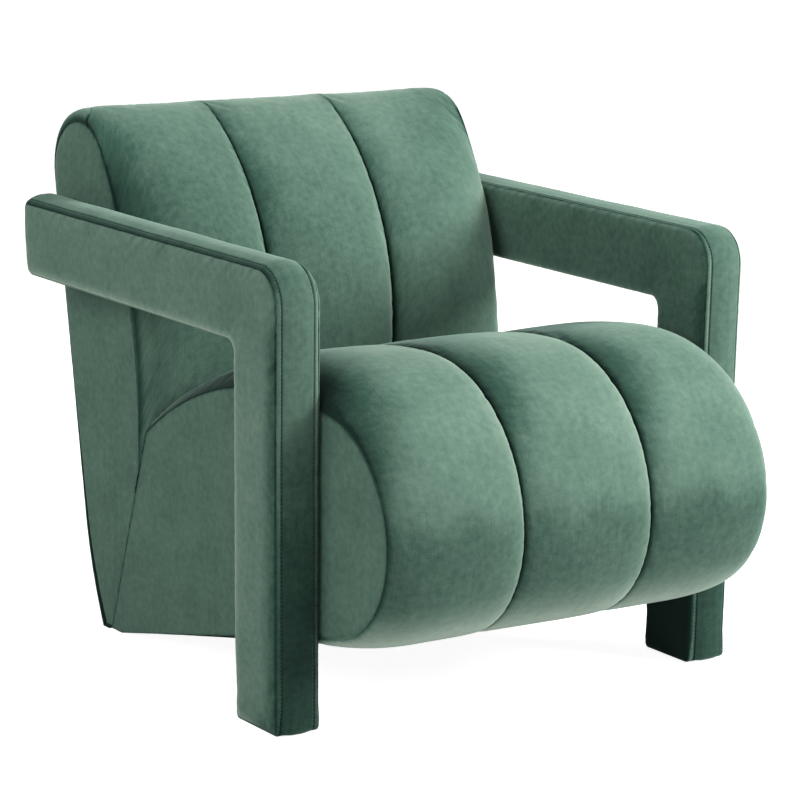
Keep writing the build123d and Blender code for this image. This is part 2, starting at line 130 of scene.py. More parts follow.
# Cloth is laid out as a flat grid, and each point is then moved onto the form. A place gives the point, its spot
# on the cloth, how near a seam it is, which becomes painted shade along the seams, how the pile lies there with
# painted light and shade mixed in, and whether thread holds it.
def laySheet(columnCount, rowCount, place, weld=False):
    bm = bmesh.new()
    bmesh.ops.create_grid(bm, x_segments=columnCount - 1, y_segments=rowCount - 1, size=0.5)
    uvLayer = bm.loops.layers.uv.new("cloth")
    # sewn holds painted shade along seams and stitch lines; the pile layer holds the pile's tone with painted light
    # and shade
    seamShadeLayer = bm.verts.layers.float.new("sewn")
    napAndPaintedLightLayer = bm.verts.layers.float.new("nap")
    heldLayer = bm.verts.layers.float.new("held")
    spots = {}
    for vert in bm.verts:
        column = round((vert.co.x + 0.5) * (columnCount - 1))
        row = round((vert.co.y + 0.5) * (rowCount - 1))
        spots[vert], cloth, vert[seamShadeLayer], vert[napAndPaintedLightLayer], vert[heldLayer] = place(column, row)
        for loop in vert.link_loops:
            loop[uvLayer].uv = cloth
    for vert, spot in spots.items():
        vert.co = spot
    if weld:
        bmesh.ops.remove_doubles(bm, verts=bm.verts, dist=1e-6)
    return bm


def linked(name, data):
    made = bpy.data.objects.new(name, data)
    scene.collection.objects.link(made)
    return made


def keepPiece(bm, name, material, replaced=()):
    for face in bm.faces:
        face.smooth = True
    mesh = bpy.data.meshes.new(name)
    bm.to_mesh(mesh)
    bm.free()
    piece = linked(name, mesh)
    mesh.materials.append(material)
    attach(piece, "root")
    if replaced:
        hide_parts(*replaced)
    return piece


def turnOut(bm, toward):
    # Faces point away from the filling: if most look the wrong way, all are reversed.
    bm.normal_update()
    facing = sum(face.normal.dot(toward(face.calc_center_median())) * face.calc_area() for face in bm.faces)
    if facing < 0:
        bmesh.ops.reverse_faces(bm, faces=bm.faces)


# Small gathers where thread pulls the cloth in: short creases across a seam that fade away from it
def gathers(along, away, seed, wave=0.011, reach=0.011):
    first = noise.noise(Vector((along / wave, seed, 0.0)))
    second = noise.noise(Vector((along / (2.7 * wave), seed, 7.3)))
    length = reach * (1.0 + 0.8 * second)
    return max(0.0, first + 0.35 * second + 0.1) * exp(-away / length)


def softness(x, y, z, seed, wave=0.13):
    return noise.noise(Vector((x / wave, y / wave, z / wave + seed)))


def sewing(away, width=0.0017):
    return exp(-away / width)


# The filling swells the cloth while the seams hold it, so it gathers beside them.
swelling = {
    "cap": 0.0015, "steps": 20,
    "cloth": {"quality": 6, "mass": 0.2, "tension_stiffness": 25, "compression_stiffness": 25, "shear_stiffness": 8,
              "bending_stiffness": 0.5, "use_pressure": True, "uniform_pressure_force": 3.0, "shrink_min": -0.003},
}


def swell(piece):
    mesh = piece.data
    held = [number for number, value in enumerate(mesh.attributes["held"].data) if value.value > 0.5]
    piece.vertex_groups.new(name="held").add(held, 1.0, "REPLACE")
    cloth = piece.modifiers.new("cloth", "CLOTH")
    cloth.settings.vertex_group_mass = "held"
    for name, value in swelling["cloth"].items():
        setattr(cloth.settings, name, value)
    cloth.settings.effector_weights.gravity = 0
    cloth.collision_settings.use_collision = False
    for step in range(1, swelling["steps"] + 1):
        scene.frame_set(step)
    grown = piece.evaluated_get(bpy.context.evaluated_depsgraph_get()).data
    moves = [after.co - before.co for before, after in zip(mesh.vertices, grown.vertices)]
    for vert, move in zip(mesh.vertices, moves):
        vert.co += move * min(1.0, swelling["cap"] / max(move.length, 1e-9))
    piece.modifiers.remove(cloth)
    piece.vertex_groups.clear()
    scene.frame_set(1)
    print(piece.name, "swelled by", round(1000 * max(move.length for move in moves), 1), "mm at most")


# Shader maths: a wire is a socket that can be added, multiplied and so on.
class Wire:
    def __init__(self, maker, socket):
        self.maker = maker
        self.socket = socket

    def work(self, operation, first, second):
        return self.maker.node("ShaderNodeMath", {"operation": operation}, {0: first, 1: second})

    def __add__(self, other):
        return self.work("ADD", self, other)

    def __sub__(self, other):
        return self.work("SUBTRACT", self, other)

    def __mul__(self, other):
        return self.work("MULTIPLY", self, other)

    def __pow__(self, other):
        return self.work("POWER", self, other)

    __radd__, __rmul__ = __add__, __mul__


class Finish:
    def __init__(self, name):
        self.material = bpy.data.materials.new(name)
        self.material.use_nodes = True
        self.tree = self.material.node_tree
        self.shader = self.tree.nodes["Principled BSDF"]

    def node(self, kind, settings=None, sockets=None, output=0):
        made = self.tree.nodes.new(kind)
        for name, value in (settings or {}).items():
            if name == "stops":
                ramp = made.color_ramp
                while len(ramp.elements) < len(value):
                    ramp.elements.new(0.5)
                for element, (position, colour) in zip(ramp.elements, value):
                    element.position = position
                    element.color = (*colour, 1.0)
            else:
                setattr(made, name, value)
        self.join(made, sockets or {})
        return Wire(self, made.outputs[output])

    def join(self, made, sockets):
        for name, value in sockets.items():
            socket = made.inputs[name]
            if isinstance(value, Wire):
                self.tree.links.new(value.socket, socket)
            else:
                socket.default_value = value

    def shade(self, sockets):
        self.join(self.shader, sockets)
        return self.material

    def objectPlace(self):
        return self.node("ShaderNodeTexCoord", output="Object")

    def painted(self, layer):
        return self.node("ShaderNodeAttribute", {"attribute_name": layer}, output="Fac")

    def stretched(self, place, scale):
        return self.node("ShaderNodeMapping", {}, {"Vector": place, "Scale": scale})

    def clouds(self, place, scale, detail=2.0, rough=0.5):
        return self.node("ShaderNodeTexNoise", {}, {"Vector": place, "Scale": scale, "Detail": detail,
                                                    "Roughness": rough})

    def between(self, share, first, second):
        return self.node("ShaderNodeMix", {"data_type": "RGBA"}, {0: share, 6: (*first, 1), 7: (*second, 1)}, 2)


# Velvet: a painted sheen in the colour makes it deep where the surface faces the eye and pale where it is seen from
# the side; it is pale where the pile is stroked flat, and painted light and shade come in with the pile's tone
velvetLook = {
    # The facing weight and power set a painted sheen seen from the side; the seam weight sets painted shade along
    # seams
    "stops": [(0.00, (0.004, 0.015, 0.011)), (0.25, (0.024, 0.060, 0.044)), (0.50, (0.086, 0.150, 0.115)),
              (0.75, (0.175, 0.248, 0.194)), (1.00, (0.305, 0.380, 0.312))],
    "facing": 0.42, "paintedSheenPower": 1.5, "napAndPaintedLightWeight": 0.62, "seam": 0.42,
    "marks": 15.0, "patches": 110.0, "strokes": (85.0, 20.0, 1.0), "streak": (420.0, 26.0, 1.0), "pile": 700.0,
    "mottle": 0.55, "middle": 0.70, "roughness": 0.88, "specular": 0.10,
    "sheen": 0.22, "sheenRoughness": 0.35, "sheenTint": (0.72, 0.95, 0.86, 1.0),
    "bump": 0.45, "depth": 0.0008,
}


def velvetFinish(look):
    finish = Finish("green velvet")
    cloth = finish.node("ShaderNodeUVMap", {"uv_map": "cloth"})
    marks = finish.clouds(cloth, look["marks"], 4.0, 0.6)
    strokes = finish.clouds(finish.stretched(cloth, look["strokes"]), 1.0, 2.0)
    streaks = finish.clouds(finish.stretched(cloth, look["streak"]), 1.0, 2.0)
    patches = finish.clouds(cloth, look["patches"], 3.0)
    pile = finish.clouds(cloth, look["pile"], 1.0)
    mottle = marks * 0.36 + patches * 0.40 + strokes * 0.14 + streaks * 0.14 + pile * 0.36 - look["middle"]
    # painted sheen: the colour turns pale where the surface is seen from the side
    facing = finish.node("ShaderNodeLayerWeight", {}, {"Blend": 0.5}, "Facing")
    # the pile's tone, with painted light and shade mixed in
    share = finish.painted("nap") * look["napAndPaintedLightWeight"] + mottle * look["mottle"]
    # painted sheen added, and painted shade taken off along seams and stitch lines
    share = share + (facing ** look["paintedSheenPower"]) * look["facing"] - finish.painted("sewn") * look["seam"]
    colour = finish.node("ShaderNodeValToRGB", {"stops": look["stops"]}, {"Fac": share})
    height = strokes * 0.40 + streaks * 0.30 + pile * 0.30
    normal = finish.node("ShaderNodeBump", {}, {"Strength": look["bump"], "Distance": look["depth"],
                                                "Height": height})
    return finish.shade({"Base Color": colour, "Normal": normal, "Roughness": look["roughness"],
                         "Specular IOR Level": look["specular"], "Sheen Weight": look["sheen"],
                         "Sheen Roughness": look["sheenRoughness"], "Sheen Tint": look["sheenTint"]})


velvet = velvetFinish(velvetLook)
print("velvet mixed")

# Seat roll
seat = {
    "noseReach": 0.149, "sideReach": 0.1405, "noseCrown": 0.0135, "noseHeight": 0.250,
    "crestHeight": 0.4355, "crestSetback": 0.078, "topRadius": 0.480, "sideSetback": 0.083, "sideRadius": 0.580,
    "crownSetback": -0.015, "crownRadius": 0.800, "sideDrop": 0.0335, "crown": 0.0175,
    "underside": {"side": radians(13.05), "seam": radians(11.2), "crown": radians(11.25), "tilt": radians(0.28)},
    "heelSetback": 0.499, "staple": 0.010,
    "spread": {"by": -0.0040, "rise": (0.30, 0.12), "fade": (0.0, 0.15)},
    "napTop": 0.74, "napLow": 0.50, "litUnder": 0.72, "napCrest": 0.20, "napBehind": 0.09, "shadedEnd": 0.16,
    "seamSheen": 0.10, "shadedSide": (0.12, 0.44), "shadedRear": 0.36, "shadedEdge": 0.45,
    "reach": (0.17, 0.48), "reachRear": 0.42, "edge": (0.005, 0.040), "seamSide": (0.86, 1.0),
    "fringe": (0.278, 0.026), "ragged": ((0.014, 0.009, 3.0), (0.020, 0.05, 8.0)),
    "heights": {"crest": (0.38, 0.45), "deeper": (0.29, 0.42), "wider": (0.32, 0.44), "deep": (0.25, 0.33),
                "under": (0.11, 0.19)},
    "setbacks": {"behind": (0.0, 0.18), "deeper": (0.0, 0.12), "wider": (0.0, 0.14), "edge": (-0.06, 0.02)},
}


def undersideHeight(setback, slope):
    return hem + (seat["heelSetback"] - setback) * tan(slope)


def seatOutline(reach, crest, setback, top, slope):
    rise = seat["noseHeight"] - undersideHeight(-reach, slope)
    lower = rise * cos(slope) / (1 - sin(slope))
    lowerCentre = Vector((lower - reach, seat["noseHeight"]))
    chin = lowerCentre - lower * Vector((sin(slope), cos(slope)))
    runBack = setback + reach
    fall = seat["noseHeight"] + top - crest
    shoulder = (top**2 - runBack**2 - fall**2) / (2 * (top - runBack))
    shoulderCentre = Vector((shoulder - reach, seat["noseHeight"]))
    topCentre = Vector((setback, crest - top))
    brow = shoulderCentre - topCentre
    browAngle = atan2(brow.y, brow.x)
    endAngle = browAngle
    while True:  # down the top arc to the joint with the back
        spot = topCentre + top * Vector((cos(endAngle), sin(endAngle)))
        if spot.x > jointSetback(spot.y):
            break
        endAngle -= 0.0005
    down = Vector((sin(joint["angle"]), -cos(joint["angle"])))
    outline = Outline()
    outline.run((seat["staple"], undersideHeight(seat["staple"], slope)), chin)
    outline.arc(lowerCentre, lower, radians(270) - slope, pi)
    outline.arc(shoulderCentre, shoulder, pi, browAngle)
    outline.arc(topCentre, top, browAngle, endAngle)
    outline.run(spot, spot + joint["tuck"] * down)
    return outline


# The cloth goes on past the seams at both ends, where it is tucked in.
def withTucks(columns):
    first, last = [[dict(edge, tuck=depth, x=edge["x"] * (1 - depth / half)) for depth in channels["tucks"]]
                   for edge in (columns[0], columns[-1])]
    return first[::-1] + columns + last


# Columns across the channels: place, whether the nearer seam is the side one, crown share, distance to the seam
def channelColumns():
    pitch = 2 * half / channels["count"]
    count = channels["columns"]
    found = []
    for number in range(channels["count"]):
        for step in range(count + 1):
            if step == 0 and number:
                continue
            across = (1 - cos(pi * step / count)) / 2
            crown = sin(pi * step / count)
            side = (number == 0 and across < 0.5) or (number == channels["count"] - 1 and across > 0.5)
            sewn = step in (0, count)
            found.append({"x": (number + across) * pitch - half, "side": side, "number": number, "sewn": sewn,
                          "crown": -channels["stitchDip"] if sewn and not side else crown,
                          "away": min(across, 1 - across) * pitch, "tuck": 0.0})
    return withTucks(found)


# The right-hand end is fuller or slimmer over part of its height.
def sideShift(spread, x, spot):
    share = easeIn(x, spreadFrom, half) * easeIn(spot.y, *spread["rise"])
    return spread["by"] * share * (1 - easeIn(spot.x, *spread["fade"]))


def channelledCover(outlineOf, spread, seed, napAndPaintedLightAt):
    columns = channelColumns()
    outlines = [outlineOf(column) for column in columns]
    rows = outlines[len(outlines) // 2].rows(channels["spacing"])
    run = [outlines[len(outlines) // 2].along(row) for row in rows]
    stretch = [outline.along(len(outline.pieces)) / run[-1] for outline in outlines]

    def place(column, row):
        edge = columns[column]
        along, away = run[row], edge["away"]
        spot, outward = outlines[column].at(outlines[column].rowAt(along * stretch[column]))
        lift = channels["soft"] * softness(edge["x"], spot.x, spot.y, seed) * min(1.0, away / channels["even"])
        nearest = round((edge["x"] / half + 1) / 2 * channels["count"])
        lift -= channels["gather"] * gathers(along, away, seed + 3.1 * nearest + 0.7 * edge["number"])
        spot = spot + outward * (lift - edge["tuck"])
        held = edge["sewn"] or row in (0, len(rows) - 1)
        x = edge["x"] + sideShift(spread, edge["x"], spot)
        # sewing(away) paints shade along the seams
        return ((x, postFront + spot.x, spot.y), (edge["x"], along), sewing(away), napAndPaintedLightAt(edge["x"], spot), float(held))

    return laySheet(len(columns), len(rows), place)


def undersideSlope(x, side, crown):
    slope = blendTo(seat["underside"]["side" if side else "seam"], seat["underside"]["crown"], max(0.0, crown))
    return slope + seat["underside"]["tilt"] * easeIn(x, 0.0, half)


def seatColumn(column):
    side, crown = column["side"], column["crown"]
    reach = seat["sideReach"] if side else seat["noseReach"]
    return seatOutline(
        blendTo(reach, seat["noseReach"] + seat["noseCrown"], crown),
        blendTo(seat["crestHeight"] - seat["sideDrop"] * side, seat["crestHeight"] + seat["crown"], crown),
        blendTo(seat["sideSetback" if side else "crestSetback"], seat["crownSetback"], max(0.0, crown)),
        blendTo(seat["sideRadius" if side else "topRadius"], seat["crownRadius"], max(0.0, crown)),
        undersideSlope(column["x"], side, crown))


def acrossChannel(x):
    across = (x / half + 1) / 2 * channels["count"]
    return across - min(channels["count"] - 1, max(0, int(across)))


def crownAt(x):
    across = acrossChannel(x)
    return 2 * sqrt(max(0.0, across * (1 - across)))


def nearSide(x):
    return abs(x) > half * (1 - 1 / channels["count"])


# The pile is stroked up over the top and down below mid-nose, and meets in an uneven fringe; the paler top is
# partly painted light from above. It is darker over the crest and towards the back. One side of each channel carries
# painted shade and the other a painted sheen by the seam; painted shade darkens the sides beside the posts and the
# right-hand end, and painted bounce light brightens the underside.
def seatNapAndPaintedLight(x, spot):
    heights, setbacks = seat["heights"], seat["setbacks"]
    middle, width = seat["fringe"]
    across = acrossChannel(x)
    ragged = sum(size * noise.noise(Vector((x / wave, seed, 0.0))) for size, wave, seed in seat["ragged"])
    nap = blendTo(seat["napLow"], seat["napTop"], easeIn(spot.y + ragged, middle - width, middle + width))
    nap -= seat["napCrest"] * easeIn(spot.y, *heights["crest"])
    nap -= seat["napBehind"] * easeIn(spot.x, *setbacks["behind"])
    # painted shade on one side of each channel, stronger higher up and towards the back
    deep = blendTo(*seat["shadedSide"], easeIn(spot.y, *heights["deeper"]))
    deep += seat["shadedRear"] * easeIn(spot.x, *setbacks["deeper"])
    reach = blendTo(*seat["reach"], easeIn(spot.y, *heights["wider"]))
    reach += seat["reachRear"] * easeIn(spot.x, *setbacks["wider"])
    nap -= deep * (1 - easeIn(across, 0.0, reach)) * easeIn(spot.y, *heights["deep"])
    # painted shade at the sides, from the posts backward
    nap -= seat["shadedEdge"] * (1 - easeIn(half - abs(x), *seat["edge"])) * easeIn(spot.x, *setbacks["edge"])
    # painted sheen along the seam side of each channel
    nap += seat["seamSheen"] * easeIn(across, *seat["seamSide"])
    # painted shade towards the right-hand end
    nap -= seat["shadedEnd"] * easeIn(x, 0.5 * half, half)
    # painted bounce light from the floor on the underside
    return nap + seat["litUnder"] * (1 - easeIn(spot.y, *heights["under"]))


bm = channelledCover(seatColumn, seat["spread"], 2.0, seatNapAndPaintedLight)
turnOut(bm, lambda spot: spot - Vector((0, postFront + 0.1, 0.22)))
seatCover = keepPiece(bm, "seat_roll_cover", velvet, ["seat_cover", "seat_foam"])
swell(seatCover)
print("seat roll covered,", len(seatCover.data.polygons), "faces")

# End panels: rings that shrink from the sewn edge to the middle, swelling out between the seams
panel = {"puff": 0.0038, "roundness": 0.012, "clear": 0.0008, "gather": 0.0011, "soft": 0.0007, "spacing": 0.004,
         "wide": 0.172, "nap": 0.46, "crease": (0.009, 0.010), "even": 0.03, "tucks": (0.009, 0.005), "middle": 0.05,
         "shares": (0.4, 0.55, 0.7, 0.85, 1.0),
         "rings": (0.0, 0.0006, 0.0014, 0.0025, 0.004, 0.006, 0.009, 0.013, 0.018, 0.025, 0.034, 0.046, 0.062)}


def endPanel(outline, centre, side, seed, spread):
    rows = outline.rows(panel["spacing"])
    run = [outline.along(row) for row in rows]
    edge = [outline.at(row)[0] for row in rows]
    centre = Vector(centre)
    rings = [(kind, depth) for kind in ("tucks", "rings", "shares") for depth in panel[kind]]

    def place(column, row):
        kind, depth = rings[row]
        toward = centre - edge[column]
        spot = edge[column] + toward * (depth / max(toward.length, panel["wide"]))
        away = depth
        if kind == "shares":
            spot, away = edge[column] + toward * depth, panel["rings"][-1] + panel["middle"] * depth
        if kind == "tucks":
            spot, away = edge[column] + toward.normalized() * 0.5 * depth, 0.0
        swollen = panel["puff"] * (1 - exp(-away / panel["roundness"]))
        room = armInner + armShift(spot.y) - panel["clear"] - half  # what the arm beside it leaves
        swollen = min(swollen, room)
        swollen -= panel["gather"] * gathers(run[column], away, seed, *panel["crease"])
        swollen += panel["soft"] * softness(0.0, spot.x, spot.y, seed) * min(1.0, away / panel["even"]) - panel["soft"]
        if kind == "tucks":
            swollen = -depth
        x = side * (half + swollen) + sideShift(spread, side * half, spot)
        # sewing(away) paints shade along the sewn edge
        return (x, postFront + spot.x, spot.y), (spot.x, spot.y), sewing(away), panel["nap"], 0.0

    bm = laySheet(len(rows), len(rings), place, weld=True)
    turnOut(bm, lambda spot: Vector((side, 0, 0)))
    return bm


def seatEnd(side):
    top = seatColumn({"x": side * half, "side": True, "crown": 0.0})
    end = top.pieces[4]["start"]
    chin = top.pieces[0]["end"]
    foot = Vector((jointSetback(hem), hem))
    heel = Vector((seat["heelSetback"], hem))
    outline = Outline()
    outline.run(heel, chin)
    outline.pieces += top.pieces[1:4]
    outline.run(end, foot)
    outline.run(foot, heel)
    return outline


for side, word in sides.items():
    bm = endPanel(seatEnd(side), (0.13, 0.22), side, 11.0 + side, seat["spread"])
    keepPiece(bm, "seat_end_panel_" + word, velvet, ["seat_side_panel_" + word])
print("seat end panels sewn")

# Back
back = {
    "baseSetback": 0.5642, "lean": radians(10.8), "crestHeight": 0.690, "topRadius": 0.062, "faceSetback": 0.425,
    "bendHeight": 0.395, "sideSetback": 0.0235, "sideBendHeight": 0.300, "crown": 0.020, "dip": 0.20,
    "sideDrop": {-1: 0.0172, 1: 0.0085}, "sideTopRadius": {-1: 0.070, 1: 0.067}, "fullness": {-1: 2.3, 1: 3.6},
    "spread": {"by": 0.0105, "rise": (0.42, 0.60), "fade": (1.0, 1.1)},
    "curlHeight": 0.150, "curlRadius": 0.579, "crestSeam": (radians(111.5), radians(70)), "seamTurns": (0.004, 0.045),
    "nap": 0.60, "litAcross": 0.12, "napSide": 0.14, "napShoulder": 0.30, "cornerShade": 0.24,
    "shadedSide": 0.20, "deepReach": (0.0, 0.30),
    "places": {"side": (-0.285, -0.12), "shoulder": (0.12, 0.26), "corner": (0.19, 0.28)},
    "heights": {"deep": (0.42, 0.60), "side": (0.42, 0.54), "shoulder": (0.53, 0.64), "corner": (0.44, 0.62)},
}


def rearSetback(height):
    return back["baseSetback"] + height * tan(back["lean"])


def backOutline(face, bend, crest, radius, seam):
    lean = back["lean"]
    centreHeight = crest - radius
    centre = Vector((rearSetback(centreHeight) - radius / cos(lean), centreHeight))
    across = face - centre.x
    down = bend - centreHeight
    sweep = (radius**2 - across**2 - down**2) / (2 * (across + radius))
    sweepCentre = Vector((face + sweep, bend))
    brow = centre - sweepCentre
    browAngle = atan2(brow.y, brow.x)
    low = joint["height"] + (joint["setback"] - face) / tan(joint["angle"])
    curl = Vector((rearSetback(back["curlHeight"]) - back["curlRadius"] * cos(lean),
                   back["curlHeight"] + back["curlRadius"] * sin(lean)))
    footAngle = -asin((curl.y - hem) / back["curlRadius"])
    foot = curl + back["curlRadius"] * Vector((cos(footAngle), sin(footAngle)))
    tip = Vector((cos(lean), -sin(lean)))
    front, rear = Outline(), Outline()
    tuckWay = Vector((sin(joint["angle"]), -cos(joint["angle"])))
    front.run(Vector((face, low)) + tuckWay * joint["tuck"], (face, low))
    front.run((face, low), (face, bend))
    front.arc(sweepCentre, sweep, pi, browAngle)
    front.arc(centre, radius, browAngle, seam)
    rear.arc(centre, radius, seam, -lean)
    rear.run(centre + radius * tip, curl + back["curlRadius"] * tip)
    rear.arc(curl, back["curlRadius"], -lean, footAngle)
    rear.run(foot, (jointSetback(hem), hem))
    return front, rear


def backColumn(column):
    side, crown = column["side"], column["crown"]
    end = 1 if column["x"] > 0 else -1
    # At the ends the crest rounds off sharply, and its seam turns forward.
    full = 1 - (1 - crown)**back["fullness"][end] if side else crown
    seam = blendTo(*back["crestSeam"], easeIn(half - abs(column["x"]), *back["seamTurns"]))
    crown -= back["dip"] * (crown < 0)
    return backOutline(
        blendTo(back["faceSetback"] + back["sideSetback"] * side, back["faceSetback"] - back["crown"], crown),
        blendTo(back["sideBendHeight"] if side else back["bendHeight"], back["bendHeight"], max(0.0, crown)),
        blendTo(back["crestHeight"] - back["sideDrop"][end] * side, back["crestHeight"], full),
        blendTo(back["sideTopRadius"][end] if side else back["topRadius"], back["topRadius"], max(0.0, full)), seam)


# Pile tone of the back with painted light and shade: painted light brightens it to the right, painted shade lies on
# one side of each channel higher up and in the lower right corner by the arm; it is paler low at the left and darker
# at the right shoulder.
def backNapAndPaintedLight(x, spot):
    places, heights = back["places"], back["heights"]
    nap = back["nap"] + back["litAcross"] * x / half
    nap -= back["shadedSide"] * (1 - easeIn(acrossChannel(x), *back["deepReach"])) * easeIn(spot.y, *heights["deep"])
    nap += back["napSide"] * (1 - easeIn(x, *places["side"])) * (1 - easeIn(spot.y, *heights["side"]))
    nap -= back["napShoulder"] * easeIn(x, *places["shoulder"]) * easeIn(spot.y, *heights["shoulder"])
    return nap - back["cornerShade"] * easeIn(x, *places["corner"]) * (1 - easeIn(spot.y, *heights["corner"]))


bm = channelledCover(lambda column: backColumn(column)[0], back["spread"], 31.0, backNapAndPaintedLight)
turnOut(bm, lambda spot: spot - Vector((0, postFront + 0.55, 0.45)))
backCover = keepPiece(bm, "back_channel_cover", velvet, ["back_cover", "back_foam"])
swell(backCover)
print("back channels covered")

# Outside back: from the crest seam over the top and down to the floor
outside = {"round": 0.045, "turns": 16, "flats": 60, "spacing": 0.0063, "under": (-0.09, -0.05, -0.02), "sink": 0.1,
           "follows": (0.0, 0.09), "even": 0.03, "groove": 0.0018, "nap": 0.47,
           "loose": 0.9, "looseFrom": (0.006, 0.014), "looseTo": (0.036, 0.046)}


def outsideBack():
    reach = outside["round"]
    turns = [pi / 2 * step / outside["turns"] for step in range(outside["turns"] + 1)]
    places = [(-half + reach * (1 - cos(turn)), sin(turn)) for turn in turns]
    flats = range(1, outside["flats"] + 1)
    places += [(-half + reach + (half - reach) * step / outside["flats"], 1.0) for step in flats]
    places += [(-x, crown) for x, crown in places[-2::-1]]
    columns = withTucks([{"x": x, "tuck": 0.0, "away": half - abs(x),
                          "upper": backColumn({"x": x, "side": nearSide(x), "crown": crownAt(x)})[1],
                          "lower": backColumn({"x": x, "side": True, "crown": crown})[1]} for x, crown in places])
    middle = columns[len(columns) // 2]["lower"]
    rows = [*outside["under"], *middle.rows(outside["spacing"])]  # first the edge that goes under the channels
    run = [middle.along(max(0.0, row)) for row in rows]

    def place(column, row):
        edge, along, away = columns[column], run[row], columns[column]["away"]
        share = easeIn(along, *outside["follows"])  # follows the channels at the seam, and is plain below it
        spot, outward = edge["upper"].at(max(0.0, rows[row]))
        plain, plainOut = edge["lower"].at(max(0.0, rows[row]))
        spot, outward = spot.lerp(plain, share), outward.lerp(plainOut, share).normalized()
        lift = channels["soft"] * softness(edge["x"], spot.x, spot.y, 57.0)
        lift *= min(1.0, min(away, along) / outside["even"])
        lift -= channels["gather"] * gathers(along, away, 58.0 + (edge["x"] > 0))
        inward = half - abs(edge["x"])
        drawn = 1 - outside["loose"] * within(inward, outside["looseFrom"], outside["looseTo"])  # loose where it turns
        groove = outside["groove"]
        lift -= drawn * (channels["gather"] * gathers(edge["x"], along, 61.0) + groove * sewing(along, groove))
        spot = spot + outward * (lift - edge["tuck"] - outside["sink"] * max(0.0, -rows[row]))
        x = edge["x"] + sideShift(back["spread"], edge["x"], spot)
        # painted shade along the seams at the ends and along the crest seam
        return ((x, postFront + spot.x, spot.y), (edge["x"], along),
                max(sewing(away), drawn * sewing(along)), outside["nap"], 0.0)

    return laySheet(len(columns), len(rows), place)


bm = outsideBack()
turnOut(bm, lambda spot: spot - Vector((0, postFront + 0.50, 0.40)))
keepPiece(bm, "outside_back_cover", velvet, ["outside_back"])


def backEnd(side):
    front, rear = backColumn({"x": side * half, "side": True, "crown": 0.0})
    outline = Outline()
    outline.pieces += front.pieces[1:] + rear.pieces
    low = front.pieces[1]["start"]
    outline.run((jointSetback(hem), hem), low)
    return outline


for side, word in sides.items():
    bm = endPanel(backEnd(side), (0.53, 0.36), side, 23.0 + side, back["spread"])
    keepPiece(bm, "back_end_panel_" + word, velvet, ["back_side_panel_" + word])
print("outside back and back end panels sewn")

# Arms: a strip round the edge sewn between two flat panels, with a line of topstitching beside each seam
arm = {
    "length": 0.642, "height": 0.569, "rail": 0.0995, "post": {-1: 0.1030, 1: 0.0980}, "corner": 0.045, "crook": 0.017,
    "end": 0.010, "foot": 0.008, "floor": 0.0016, "edge": 0.008, "footEdge": 0.004, "footRise": (0.004, 0.045),
    "bulge": 0.004, "slant": 0.007, "rearEnd": (0.600, 0.634), "taper": 0.005, "taperRise": (0.0, 0.12),
    "seamTurn": {False: radians(29), True: radians(55)}, "stitch": {False: 0.0064, True: 0.0105},  # outer, inner
    "spacing": 0.0036, "gather": 0.0011, "soft": 0.0010, "puff": 0.0022, "panelPuff": 0.0030, "panelRoll": 0.010,
    "innerPuff": 0.0025, "innerRise": (0.35, 0.50), "crown": {-1: 0.0052, 1: 0.0}, "overRound": 1.25,
    "groove": 0.0013, "grooveWidth": 0.0014, "stitchDepth": 0.75, "stitchWidth": 0.0010, "glide": (0.019, 0.032),
    "hidden": ((5.6, 6.1), (8.9, 9.1)), "crowned": ((1.2, 2.0), (3.0, 4.2)), "level": ((0.9, 2.0), (7.0, 8.0)),  # rows
    "napOuter": 0.53, "napPost": 0.08, "postTop": (0.43, 0.50), "innerShading": (-0.32, 0.44), "innerTop": (0.05, 0.42),
    "frontShading": (0.20, 0.63), "frontTop": (0.08, 0.42), "napTop": 0.37, "weltShading": (0.24, -0.30),
    "welt": (-0.001, 0.001), "rollShade": (0.25, 0.10), "rollWidth": 0.023, "brimHighlight": 0.16, "brimWidth": 0.014,
    "brimRise": (0.45, 0.53), "rimSheen": 0.75, "rimWidth": 0.004, "ruffleShade": 0.28, "plainRim": 0.8,
    "thread": {"pitch": 0.0050, "thick": 0.0009, "rise": 0.0007, "sunk": 0.7, "thin": 0.35, "rings": 6, "sides": 6},
}
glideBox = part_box("post_glide_right")
glideSpot = Vector(((glideBox[0].x + glideBox[1].x) / 2, (glideBox[0].y + glideBox[1].y) / 2 - postFront))


def armOutline(side):
    length, top, under, low = arm["length"], arm["height"], arm["height"] - arm["rail"], arm["floor"]
    post, corner, crook, end, foot = arm["post"][side], arm["corner"], arm["crook"], arm["end"], arm["foot"]
    quarter = pi / 2
    outline = Outline()
    outline.run((0, low + foot), (0, top - corner))
    outline.arc((corner, top - corner), corner, pi, quarter)
    outline.run((corner, top), (length - end, top))
    outline.arc((length - end, top - end), end, quarter, 0.0)
    outline.run((length, top - end), (length, under + end))
    outline.arc((length - end, under + end), end, 0.0, -quarter)
    outline.run((length - end, under), (post + crook, under))
    outline.arc((post + crook, under - crook), crook, quarter, pi)
    outline.run((post, under - crook), (post, low + foot))
    outline.arc((post - foot, low + foot), foot, 0.0, -quarter)
    outline.run((post - foot, low), (foot, low))
    outline.arc((foot, low + foot), foot, -quarter, -pi)
    return outline


def edgeRadius(height):
    return blendTo(arm["footEdge"], arm["edge"], easeIn(height, *arm["footRise"]))


def edgeDrop(inset, edge):
    # How far the rounded edge has fallen away, at a distance from the face beside it
    return edge - sqrt(max(0.0, edge**2 - max(0.0, edge - inset)**2))


def armGive(spot):
    # The rear end is stuffed round and leans in below, and the post draws in towards the floor
    share = (spot.y - arm["height"] + arm["rail"]) / arm["rail"]
    end = arm["bulge"] * max(0.0, 4 * share * (1 - share)) - arm["slant"] * (1 - min(1.0, max(0.0, share)))
    draw = arm["taper"] * spot.x / arm["post"][1] * (1 - easeIn(spot.y, *arm["taperRise"]))
    return Vector((end * easeIn(spot.x, *arm["rearEnd"]) - draw, 0))


